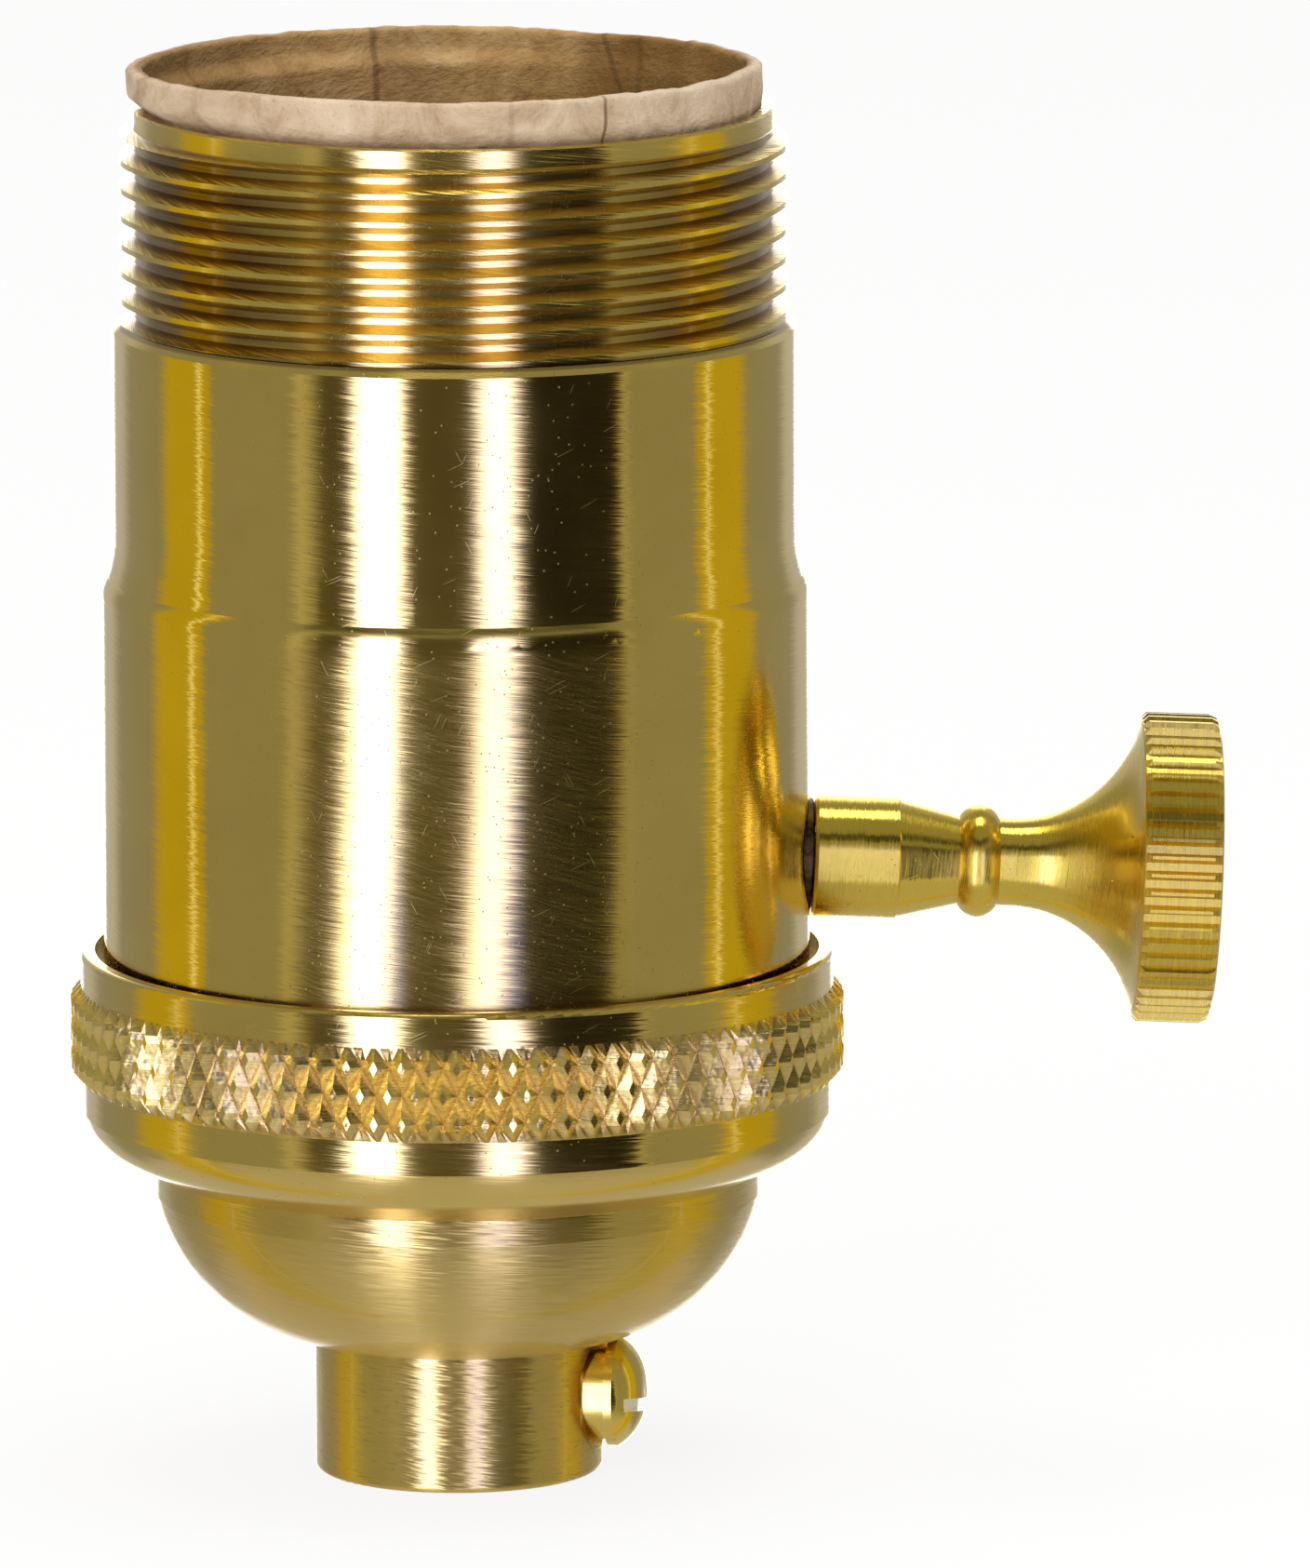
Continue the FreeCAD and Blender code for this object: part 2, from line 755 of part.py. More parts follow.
def make_centre_contact():
    base = cover_top + blade_thickness / 2
    place = contact_rivet_place
    half = contact_width / 2
    strip = bent_strip(
        (
            (-place - half, base),
            (-place + half, base),
            (half, base + contact_rise - contact_dip),
            (0, base + contact_rise),
            (-half, base + contact_rise - contact_dip),
        ),
        blade_thickness,
        contact_width,
    )
    hole = rod(contact_rivet_radius + close_fit, 0, base + contact_rise / 2)
    return strip.cut(hole.translate(Vector(-place, 0, 0)))


def make_contact_rivet():
    low = body_top - blade_thickness
    high = cover_top + blade_thickness
    rivet = rod(contact_rivet_radius, low, high).fuse(
        [
            rod(contact_rivet_head, low - contact_rivet_head_height, low),
            rod(contact_rivet_head, high, high + contact_rivet_head_height),
        ]
    )
    return rivet.translate(Vector(-contact_rivet_place, 0, 0)).removeSplitter()


def make_long_rivets():
    rivet = rod(long_rivet_radius, room_top, flange_top).fuse(
        [
            rod(rivet_head_radius, room_top - rivet_head_height, room_top),
            rod(rivet_head_radius, flange_top, flange_top + rivet_head_height),
        ]
    ).removeSplitter()
    return Part.Compound([rivet.copy().translate(p) for p in rivet_places()])


def lamp_groove(crest, root, bottom, turns, outward):
    """Rolled groove of the lamp thread: half the pitch wide at its mouth."""
    mouth = lamp_pitch / 2 - lamp_sheet / 2 * outward
    floor = lamp_pitch / 5 - lamp_sheet / 2 * outward
    depth = abs(crest - root)
    past = outward * depth
    wide = mouth + (mouth - floor) * abs(past) / depth
    return helical_groove(
        root,
        bottom,
        turns,
        lamp_pitch,
        (
            (root, -floor / 2),
            (crest + past, -wide / 2),
            (crest + past, wide / 2),
            (root, floor / 2),
        ),
    )


def make_lamp_shell():
    low = cover_top + lamp_base_height + lamp_pitch / 2
    turns = (lamp_shell_height - lamp_rim_height - lamp_base_height) / lamp_pitch - 1
    blank = turned(
        (lamp_flange_hole, cover_top),
        (lamp_major_radius + lamp_sheet, cover_top),
        (lamp_major_radius + lamp_sheet, lamp_rim),
        (lamp_minor_radius, lamp_rim),
        (lamp_minor_radius, flange_top),
        (lamp_flange_hole, flange_top),
    )
    outer = lamp_groove(
        lamp_major_radius + lamp_sheet, lamp_minor_radius + lamp_sheet, low, turns, 1
    )
    inner = lamp_groove(
        lamp_minor_radius, lamp_major_radius, low - lamp_pitch / 2, turns + 1, -1
    )
    room_radius = lamp_major_radius + lamp_room_relief
    base_room = rod(room_radius, flange_top, cover_top + lamp_base_height)
    rim_room = rod(room_radius, lamp_rim - lamp_rim_height, lamp_rim)
    return blank.cut([outer, inner, base_room, rim_room] + rivet_holes(cover_top, flange_top))


def make_rotor():
    along = Vector(1, 0, 0)
    side = boss_corner / math.sqrt(2)
    boss = block((rotor_half_length, boss_end), (-side, side), (-side, side))
    drum = rod(rotor_radius, -rotor_half_length, rotor_half_length, along).fuse(boss)
    drum = drum.cut([rod(shaft_radius, -reach, reach, along), contact_segment()])
    return on_knob_axis(drum.removeSplitter())


def contact_segment():
    """Brass segment let into the drum, from its top round to the hot blade."""
    inside = rotor_radius - blade_thickness
    ring = outline(
        (-blade_width / 2, inside),
        (blade_width / 2, inside),
        (blade_width / 2, rotor_radius),
        (-blade_width / 2, rotor_radius),
    )
    segment = ring.revolve(origin, Vector(1, 0, 0), -90 - 2 * contact_overlap)
    segment.rotate(origin, Vector(1, 0, 0), contact_overlap)
    return segment


def make_detent_spring():
    inside = boss_corner + blade_gap
    width = (rotor_half_length + detent_side, boss_end - detent_side)
    strip = outline(
        (width[0], -inside),
        (width[1], -inside),
        (width[1], -inside - detent_thickness),
        (width[0], -inside - detent_thickness),
    ).revolve(origin, Vector(1, 0, 0), 2 * detent_half_angle)
    strip.rotate(origin, Vector(1, 0, 0), -detent_half_angle)
    feet = []
    for side in (-1, 1):
        foot = block(
            width, (-detent_thickness / 2, detent_thickness / 2), (-chamber_radius, -inside)
        )
        foot.rotate(origin, Vector(1, 0, 0), side * detent_foot_angle)
        feet.append(foot)
    tube = rod(chamber_radius, width[0], width[1], Vector(1, 0, 0))
    return on_knob_axis(strip.fuse(feet).common(tube).removeSplitter())


def make_stem_bushing():
    end = body_radius - bushing_recess
    flange_end = bushing_start + bushing_flange_thickness
    return turned_along_knob(
        (bushing_start, bushing_bore),
        (end, bushing_bore),
        (end, bushing_outside),
        (flange_end, bushing_outside),
        (flange_end, bushing_outside + bushing_flange),
        (bushing_start, bushing_outside + bushing_flange),
    )


def make_switch_shaft():
    shaft = rod(shaft_radius, -rotor_half_length, knob_start + shaft_in_knob, Vector(1, 0, 0))
    return on_knob_axis(shaft)


def fluted_edge(start, end):
    """Ring that cuts the straight flutes into the knob's rim."""
    pitch = 2 * math.pi / flute_count
    corners = []
    for flute in range(flute_count):
        places = (
            (flute_top / 2, knob_rim_radius),
            (0.5 - flute_floor / 2, knob_rim_radius - flute_depth),
            (0.5 + flute_floor / 2, knob_rim_radius - flute_depth),
            (1 - flute_top / 2, knob_rim_radius),
        )
        for share, radius in places:
            angle = (flute + share) * pitch
            corners.append(Vector(start, radius * math.cos(angle), radius * math.sin(angle)))
    teeth = Part.Face(Part.makePolygon(corners + corners[:1]))
    around = rod(knob_rim_radius + flute_depth, start, end, Vector(1, 0, 0))
    return around.cut(teeth.extrude(Vector(end - start, 0, 0)))


def make_knob():
    stem_end = knob_start + knob_stem_length
    taper_foot = stem_end + knob_stem_radius - knob_taper_start
    bead_start = taper_foot + knob_taper_length
    bead_end = bead_start + knob_bead_length
    flare_start = bead_end + knob_waist_length
    rim_start = flare_start + knob_flare_length
    rim_end = rim_start + knob_rim_width
    bead_middle = ((bead_start + bead_end) / 2, knob_bead_radius)
    flare_end = (rim_start, knob_rim_radius - knob_rim_edge_back)
    face_edge = knob_rim_radius - knob_rim_edge_front
    edge_bevel = knob_rim_edge_front * (1 - math.sqrt(0.5))
    bore = shaft_radius + close_fit
    bore_end = knob_start + shaft_in_knob + close_fit
    knob = outline(
        (knob_start, bore),
        (knob_start, knob_stem_radius - knob_stem_edge),
        (knob_start + knob_stem_edge, knob_stem_radius),
        (stem_end, knob_stem_radius),
        (taper_foot, knob_taper_start),
        (bead_start, knob_neck_radius),
        (bead_middle, (bead_end, knob_neck_radius)),
        (flare_start, knob_neck_radius),
        bowed((flare_start, knob_neck_radius), flare_end, knob_flare_crown),
        (rim_start + knob_rim_edge_back, knob_rim_radius),
        (rim_end - knob_rim_edge_front, knob_rim_radius),
        (rim_end - edge_bevel, knob_rim_radius - edge_bevel),
        (rim_end, face_edge),
        (rim_end + knob_dome, 0),
        (bore_end, 0),
        (bore_end, bore),
    ).revolve(origin, Vector(1, 0, 0), full_turn)
    return on_knob_axis(knob.cut(fluted_edge(rim_start, rim_end)))


pieces = {
    "cap": make_cap,
    "cap_insulator": make_cap_insulator,
    "set_screw": make_set_screw,
    "shell": make_shell,
    "liner": make_liner,
    "switch_body": make_switch_body,
    "switch_cover": make_switch_cover,
    "assembly_rivets": make_long_rivets,
    "lamp_shell": make_lamp_shell,
    "centre_contact": make_centre_contact,
    "contact_rivet": make_contact_rivet,
    "lamp_blade": make_lamp_blade,
    "hot_terminal": make_hot_terminal,
    "neutral_terminal": make_neutral_terminal,
    "hot_terminal_screw": lambda: make_terminal_screw(1),
    "neutral_terminal_screw": lambda: make_terminal_screw(-1),
    "stem_bushing": make_stem_bushing,
    "switch_shaft": make_switch_shaft,
    "rotor": make_rotor,
    "rotor_contact": lambda: on_knob_axis(contact_segment()),
    "detent_spring": make_detent_spring,
    "knob": make_knob,
}

os.makedirs("parts", exist_ok=True)
for name, make in pieces.items():
    make().exportStep("parts/" + name + ".step")
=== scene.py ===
import bpy
import bmesh
import math
import json
from mathutils import Vector, Matrix, noise


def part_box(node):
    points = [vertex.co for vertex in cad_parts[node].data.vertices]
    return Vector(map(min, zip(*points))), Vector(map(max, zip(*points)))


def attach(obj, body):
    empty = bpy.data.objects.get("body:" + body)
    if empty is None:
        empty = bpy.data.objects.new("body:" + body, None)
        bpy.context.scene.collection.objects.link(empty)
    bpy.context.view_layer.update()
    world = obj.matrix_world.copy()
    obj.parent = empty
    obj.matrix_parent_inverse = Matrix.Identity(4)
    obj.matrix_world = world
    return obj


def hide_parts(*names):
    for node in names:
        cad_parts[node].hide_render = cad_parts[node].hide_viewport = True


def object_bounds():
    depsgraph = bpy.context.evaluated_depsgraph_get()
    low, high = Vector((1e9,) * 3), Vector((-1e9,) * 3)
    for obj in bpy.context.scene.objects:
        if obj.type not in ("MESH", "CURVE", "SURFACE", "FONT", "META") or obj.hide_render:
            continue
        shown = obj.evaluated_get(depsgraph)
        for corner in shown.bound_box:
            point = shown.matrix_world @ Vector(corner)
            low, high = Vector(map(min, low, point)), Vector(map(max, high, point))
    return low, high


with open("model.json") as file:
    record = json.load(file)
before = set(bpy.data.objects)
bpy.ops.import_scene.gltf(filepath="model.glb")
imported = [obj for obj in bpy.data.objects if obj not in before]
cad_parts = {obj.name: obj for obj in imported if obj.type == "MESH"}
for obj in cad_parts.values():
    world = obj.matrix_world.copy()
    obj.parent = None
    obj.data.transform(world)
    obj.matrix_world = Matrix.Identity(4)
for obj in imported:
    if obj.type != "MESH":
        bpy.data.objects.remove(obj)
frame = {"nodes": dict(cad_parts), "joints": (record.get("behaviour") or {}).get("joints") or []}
cad_lo, cad_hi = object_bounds()
NODES = frame["nodes"]
scene = bpy.context.scene
scene.view_settings.view_transform = "Standard"


# ------------------------------------------------------------------ node helpers
class Tree:
    """A short way to write a node tree: each call adds a node and returns its output."""

    def __init__(self, tree):
        self.tree = tree
        self.tree.nodes.clear()

    def node(self, kind, **props):
        n = self.tree.nodes.new(kind)
        for k, v in props.items():
            setattr(n, k, v)
        return n

    def put(self, value, socket):
        """Link a socket, or set a constant."""
        if isinstance(value, bpy.types.NodeSocket):
            self.tree.links.new(value, socket)
        elif value is not None:
            socket.default_value = value

    def math(self, op, a, b=None, c=None, clamp=False):
        n = self.node("ShaderNodeMath", operation=op, use_clamp=clamp)
        for i, v in enumerate((a, b, c)):
            self.put(v, n.inputs[i])
        return n.outputs[0]

    def step(self, v, a, b, lo=0.0, hi=1.0):
        """Smooth change from lo to hi as v goes from a to b."""
        n = self.node("ShaderNodeMapRange", interpolation_type="SMOOTHSTEP")
        self.put(v, n.inputs["Value"])
        if a > b:
            a, b, lo, hi = b, a, hi, lo
        for key, x in (("From Min", a), ("From Max", b), ("To Min", lo), ("To Max", hi)):
            self.put(x, n.inputs[key])
        return n.outputs[0]

    def band(self, v, a, b, soft_a, soft_b=None):
        """One between a and b, with soft edges centred on them."""
        sb = soft_a if soft_b is None else soft_b
        up = self.step(v, a - soft_a / 2, a + soft_a / 2)
        down = self.step(v, b - sb / 2, b + sb / 2, 1.0, 0.0)
        return self.math("MULTIPLY", up, down)

    def mix(self, fac, a, b):
        """Colour a, turning to colour b as fac goes from 0 to 1."""
        n = self.node("ShaderNodeMix", data_type="RGBA", blend_type="MIX", clamp_factor=True)
        self.put(fac, n.inputs[0])
        self.put(a, n.inputs[6])
        self.put(b, n.inputs[7])
        return n.outputs[2]

    def shader(self, fac, a, b):
        """Shader a where fac is 0, and shader b where it is 1."""
        n = self.node("ShaderNodeMixShader")
        for socket, value in zip(n.inputs, (fac, a, b)):
            self.put(value, socket)
        return n.outputs[0]

    def noise(self, vec, scale, detail=2.0, rough=0.5, dist=0.0, dims="3D"):
        n = self.node("ShaderNodeTexNoise", noise_dimensions=dims)
        self.put(vec, n.inputs["Vector"])
        n.inputs["Scale"].default_value = scale
        n.inputs["Detail"].default_value = detail
        n.inputs["Roughness"].default_value = rough
        n.inputs["Distortion"].default_value = dist
        return n.outputs["Fac"]

    def ramp(self, fac, stops):
        """Colours at their places along fac."""
        n = self.node("ShaderNodeValToRGB")
        self.put(fac, n.inputs[0])
        el = n.color_ramp.elements
        while len(el) < len(stops):
            el.new(0.5)
        for e, (p, c) in zip(el, stops):
            e.position = p
            e.color = tuple(c) + (1,)
        return n.outputs[0]

    def about(self, vec, origin, turn):
        """The place vec in axes that stand at origin, turned by turn."""
        n = self.node("ShaderNodeMapping", vector_type="TEXTURE")
        self.put(vec, n.inputs["Vector"])
        n.inputs["Location"].default_value = origin
        n.inputs["Rotation"].default_value = turn
        return n.outputs[0]

    def split(self, vec):
        n = self.node("ShaderNodeSeparateXYZ")
        self.put(vec, n.inputs[0])
        return n.outputs

    def join(self, x, y, z):
        n = self.node("ShaderNodeCombineXYZ")
        for i, v in enumerate((x, y, z)):
            self.put(v, n.inputs[i])
        return n.outputs[0]

    def spin(self, vec, axis, angle):
        """The direction vec turned about an axis by an angle in radians."""
        n = self.node("ShaderNodeVectorRotate", rotation_type="AXIS_ANGLE")
        for key, value in (("Vector", vec), ("Axis", axis), ("Angle", angle)):
            self.put(value, n.inputs[key])
        return n.outputs[0]

    def bump(self, height, strength, distance, normal=None):
        n = self.node("ShaderNodeBump")
        n.inputs["Strength"].default_value = strength
        n.inputs["Distance"].default_value = distance
        self.put(height, n.inputs["Height"])
        if normal is not None:
            self.put(normal, n.inputs["Normal"])
        return n.outputs[0]

    def tangent(self, axis="Z"):
        """The direction of turning about an axis."""
        return self.node("ShaderNodeTangent", direction_type="RADIAL", axis=axis).outputs[0]

    def coord(self):
        """The place on the object, in metres."""
        return self.node("ShaderNodeTexCoord").outputs["Object"]

    def normal(self):
        return self.node("ShaderNodeNewGeometry").outputs["Normal"]

    def product(self, *factors):
        """The factors multiplied, from the left."""
        total = factors[0]
        for factor in factors[1:]:
            total = self.math("MULTIPLY", total, factor)
        return total


def material(name):
    """A new material, its tree and its Principled shader."""
    m = bpy.data.materials.new(name)
    m.use_nodes = True
    t = Tree(m.node_tree)
    out = t.node("ShaderNodeOutputMaterial")
    b = t.node("ShaderNodeBsdfPrincipled")
    t.put(b.outputs[0], out.inputs[0])
    return m, t, b


def add_piece(mesh, mat):
    """An object for a mesh of the scene's own."""
    o = bpy.data.objects.new(mesh.name, mesh)
    scene.collection.objects.link(o)
    mesh.materials.append(mat)
    return o


# ------------------------------------------------------------------ camera
PITCH, YAW, ROLL = (math.radians(angle) for angle in (9.887, 2.5, -0.1657))
DISTANCE = 1.1772
LENS, SENSOR = 474.0, 36.0
AIM_RIGHT, AIM_DOWN = 0.00057, 0.00109      # from the middle of the object's box


def camera():
    """A long lens, about 10 degrees down, with the knob to the right and a little away."""
    middle = (cad_lo + cad_hi) / 2
    right = Vector((math.cos(YAW), -math.sin(YAW), 0))
    ahead = Vector((math.cos(PITCH) * math.sin(YAW), math.cos(PITCH) * math.cos(YAW), -math.sin(PITCH)))
    up = right.cross(ahead)
    aim = Vector((0, 0, middle.z - AIM_DOWN)) + right * (middle.x + AIM_RIGHT)
    side = right * math.cos(ROLL) + up * math.sin(ROLL)
    head = up * math.cos(ROLL) - right * math.sin(ROLL)
    data = bpy.data.cameras.new("camera")
    data.lens, data.sensor_width = LENS, SENSOR
    data.clip_start, data.clip_end = 0.05, 10.0
    o = bpy.data.objects.new("camera", data)
    scene.collection.objects.link(o)
    o.matrix_world = Matrix((
        (side.x, head.x, -ahead.x, 0), (side.y, head.y, -ahead.y, 0), (side.z, head.z, -ahead.z, 0),
        (0, 0, 0, 1)))
    o.location = aim - ahead * DISTANCE
    scene.camera = o


camera()


# ------------------------------------------------------------------ world: a small studio
# Places are in degrees: azimuth round the object from the camera, elevation above level. A band is
# its start, its end and the width of its soft edges. Colours are what brass sees there.
ROOM, BELOW = (0.30, 0.30, 0.285), (0.50, 0.49, 0.58)
HORIZON = (-36, -30)
FAR_ROOM, FAR_AZ = (0.50, 0.49, 0.46), (140, 152)
WARM_SIDE, WARM_AZ = (0.52, 0.42, 0.03), (90, 115, 2, 8)
BRIGHT_LINE, LINE_AZ = (1.1, 1.05, 0.8), (94.6, 96.2, 0.8)
BACK_LIGHT, BACK_AZ, BACK_EL = (1.9, 1.9, 1.8), (163, 169), (-30, 40, 20)
PANEL_AZ, PANEL_EL, PANEL_STEP = (-48, 58, 9.0, 2.0), (-33, 30, 4), (22, 27)
PANEL_LEFT, PANEL_RIGHT, PANEL_HUE = 0.085, 0.016, (0.86, 0.72)
PANEL_EDGE, EDGE_AZ = (0.55, 0.52, 0.44), (-55, 60.5, 3.0, 1.2)
DARK_GAP, GAP_AZ, GAP_EL = (0.06, 0.06, 0.055), (-60, 62, 8), (39, 52, 3)
LEFT_STRIP, LEFT_AZ = (3.8, 4.0, 8.8), (-32.6, -17.6, 9, 7)
RIGHT_STRIP, RIGHT_AZ = (2.5, 2.6, 6.6), (8.8, 20.8, 8, 8)
OVERHEAD, OVERHEAD_BAND = (5.0, 5.0, 5.0), (89, 107, 5)
PLAIN_LIGHT, PLAIN_STRENGTH = (1.0, 0.985, 0.96, 1), 0.72
WHITE = (1, 1, 1, 1)


def reflections(t):
    """The room that polished brass shows: panels, strip lights and warm sides, by direction alone."""
    x, y, z = t.split(t.node("ShaderNodeTexCoord").outputs["Generated"])[:]
    deg = math.degrees(1)
    front = t.math("MULTIPLY", y, -1.0)
    az = t.math("MULTIPLY_ADD", t.math("ARCTAN2", x, front), deg, math.degrees(YAW))
    el = t.math("MULTIPLY", t.math("ARCSINE", z), deg)
    over = t.math("MULTIPLY", t.math("ARCTAN2", z, front), deg)
    off_front = t.math("ABSOLUTE", az)
    col = t.mix(t.step(el, *HORIZON, 1, 0), (*ROOM, 1), (*BELOW, 1))

    def lay(colour, *masks):
        """Put a colour over the room where the masks meet."""
        nonlocal col
        col = t.mix(t.product(*masks), col, (*colour, 1) if isinstance(colour, tuple) else colour)

    # sides and back
    lay(FAR_ROOM, t.step(off_front, *FAR_AZ), t.step(el, 30, 60, 1, 0))
    lay(WARM_SIDE, t.band(off_front, *WARM_AZ), t.step(el, 34, 60, 1, 0))
    lay(BRIGHT_LINE, t.band(off_front, *LINE_AZ), t.step(el, 30, 50, 1, 0))
    lay(BACK_LIGHT, t.step(off_front, *BACK_AZ), t.band(el, *BACK_EL))
    # the dark panel in front, with a bright line at its edges and a dark gap over it
    rows = t.band(el, *PANEL_EL)
    lay(PANEL_EDGE, t.band(az, *EDGE_AZ), rows, 0.8)
    tone = t.step(az, *PANEL_STEP, PANEL_LEFT, PANEL_RIGHT)
    green, blue = (t.math("MULTIPLY", tone, share) for share in PANEL_HUE)
    lay(t.join(tone, green, blue), t.band(az, *PANEL_AZ), rows)
    lay(DARK_GAP, t.band(el, *GAP_EL), t.band(az, *GAP_AZ))
    # two strip lights, bluish so that brass returns them white, and a lamp overhead
    rise = t.product(t.step(el, -44, -30), t.step(el, 20, 34, 1, 0))
    lay(LEFT_STRIP, t.band(az, *LEFT_AZ), rise)
    lay(RIGHT_STRIP, t.band(az, *RIGHT_AZ), rise)
    lay(OVERHEAD, t.band(over, *OVERHEAD_BAND), t.step(t.math("ABSOLUTE", x), 0.12, 0.2, 1, 0))
    return col


def studio():
    """Plain pale light on the object, the room in its reflections, and white for the camera."""
    w = bpy.data.worlds.new("studio")
    w.use_nodes = True
    scene.world = w
    t = Tree(w.node_tree)
    out = t.node("ShaderNodeOutputWorld")

    def light(colour, strength=1.0):
        n = t.node("ShaderNodeBackground")
        t.put(colour, n.inputs["Color"])
        n.inputs["Strength"].default_value = strength
        return n.outputs[0]

    path = t.node("ShaderNodeLightPath").outputs
    shine = t.math("MAXIMUM", path["Is Glossy Ray"], path["Is Transmission Ray"])
    lit = t.shader(shine, light(PLAIN_LIGHT, PLAIN_STRENGTH), light(reflections(t)))
    t.put(t.shader(path["Is Camera Ray"], lit, light(WHITE)), out.inputs[0])
    w.cycles.sampling_method = "NONE"


studio()


def lamp(name, place, target, size, watts):
    """A soft square lamp that neither the camera nor the brass sees."""
    data = bpy.data.lights.new(name, "AREA")
    data.shape = "RECTANGLE"
    data.size = data.size_y = size
    data.energy = watts
    o = bpy.data.objects.new(name, data)
    scene.collection.objects.link(o)
    o.location = place
    o.rotation_euler = (Vector(target) - Vector(place)).to_track_quat("-Z", "Y").to_euler()
    o.visible_glossy = False
    o.visible_camera = False


HALF_WAY_UP = (0, 0, 0.04)
lamp("key", (-0.35, -0.75, 0.45), HALF_WAY_UP, 0.5, 3.2)
lamp("overhead", (0.05, 0.02, 0.75), HALF_WAY_UP, 0.5, 2.4)


# ------------------------------------------------------------------ floor
FLOOR_SIZE, FLOOR_GAP = 6, 0.00002
FLOOR_COLOUR = (0.86, 0.86, 0.86, 1)
FLOOR_WHITE = 0.85              # how far the camera sees plain white instead of the lit floor


def floor():
    """A pale floor that keeps the object's shadow and runs into the white behind."""
    bpy.ops.mesh.primitive_plane_add(size=FLOOR_SIZE, location=(0, 0, cad_lo.z - FLOOR_GAP))
    o = bpy.context.object
    o.name = "floor"
    m = bpy.data.materials.new("floor_white")
    m.use_nodes = True
    t = Tree(m.node_tree)
    out = t.node("ShaderNodeOutputMaterial")
    diffuse = t.node("ShaderNodeBsdfDiffuse")
    diffuse.inputs[0].default_value = FLOOR_COLOUR
    white = t.node("ShaderNodeEmission")
    white.inputs[1].default_value = 1.0
    seen = t.math("MULTIPLY", t.node("ShaderNodeLightPath").outputs["Is Camera Ray"], FLOOR_WHITE)
    t.put(t.shader(seen, diffuse.outputs[0], white.outputs[0]), out.inputs[0])
    o.data.materials.append(m)
    o.visible_glossy = False


floor()

# ------------------------------------------------------------------ brass
BRASS = (0.82, 0.605, 0.135)
KNOB_TONE, SCREW_TONE = (0.86, 0.625, 0.07), (0.88, 0.64, 0.10)
# Heights and radii on the turned pieces, in metres
HUB_TOP, BOWL_TOP = 0.00783, 0.0176
KNURL_LOW, KNURL_HIGH = 0.0229, 0.0283
KNURL_EDGE, KNURL_ROOT, KNURL_PEAK = 0.02142, 0.02150, 0.02180
THREAD_LOW, THREAD_HIGH = 0.0666, 0.0773
THREAD_ROOT, THREAD_FLANK = 0.01835, 0.01890
CAP_LIP, STEP_TOP = 0.0235, 0.0505
STEP_LOW, STEP_HIGH = 0.0495, 0.0512
FLARE_EDGE, KNOB_RIM = 0.0076, 0.0080
FINE_BUMP = 0.00005


def knob_axis():
    for j in frame["joints"]:
        if j["name"] == "knob_turn":
            return Vector(j["pos_m"]), Vector(j["axis"]).normalized()
    raise SystemExit("no knob joint")


KNOB_AT, KNOB_DIR = knob_axis()
KNOB_TURN = KNOB_DIR.to_track_quat("Z", "Y")


class Turned:
    """Coordinates wrapped round a turned piece: u along the turn, z along the axis, both in metres."""

    def __init__(self, t, radius, about_knob=False):
        self.t = t
        self.axis = tuple(KNOB_DIR) if about_knob else (0, 0, 1)
        self.co = t.coord()
        if about_knob:
            self.co = t.about(self.co, tuple(KNOB_AT), tuple(KNOB_TURN.to_euler()))
        x, y, self.z = t.split(self.co)[:]
        self.r = t.math("SQRT", t.math("ADD", t.math("MULTIPLY", x, x), t.math("MULTIPLY", y, y)))
        self.angle = t.math("ARCTAN2", x, t.math("MULTIPLY", y, -1.0))
        self.u = t.math("MULTIPLY", self.angle, radius)

    def lines(self, along, across, slant=0.0, detail=2.0, rough=0.6):
        """Noise drawn out into lines: so many features a metre along the turn and across it."""
        t = self.t
        v = t.math("MULTIPLY_ADD", self.u, slant, self.z) if slant else self.z
        place = t.join(t.math("MULTIPLY", self.u, along), t.math("MULTIPLY", v, across), 0.0)
        return t.noise(place, scale=1.0, detail=detail, rough=rough, dims="2D")

    def marks(self, along, across, tilt, size, share):
        """Short thin marks: stretched cells, of which a share is kept."""
        t = self.t
        c, s = math.cos(tilt), math.sin(tilt)
        p = t.math("ADD", t.math("MULTIPLY", self.u, c), t.math("MULTIPLY", self.z, s))
        q = t.math("SUBTRACT", t.math("MULTIPLY", self.z, c), t.math("MULTIPLY", self.u, s))
        n = t.node("ShaderNodeTexVoronoi", voronoi_dimensions="2D", feature="F1")
        t.put(t.join(t.math("MULTIPLY", p, along), t.math("MULTIPLY", q, across), 0.0), n.inputs["Vector"])
        n.inputs["Scale"].default_value = 1.0
        spot = t.step(n.outputs["Distance"], size * 0.5, size, 1, 0)
        chance = t.split(n.outputs["Color"])[0]
        return t.math("MULTIPLY", spot, t.math("LESS_THAN", chance, share))


def wear(t, w, scratches):
    """Specks, and fine hairs that cross in three directions."""
    speck = w.marks(2300.0, 2300.0, 0.3, 0.15, 0.12 * scratches)
    hair = t.math("MAXIMUM", w.marks(330.0, 9600.0, 0.42, 0.24, 0.016 * scratches),
                  w.marks(420.0, 9200.0, 2.05, 0.24, 0.014 * scratches))
    hair = t.math("MAXIMUM", hair, w.marks(500.0, 9900.0, 1.15, 0.22, 0.014 * scratches))
    return t.math("MAXIMUM", speck, t.math("MULTIPLY", hair, 0.5))


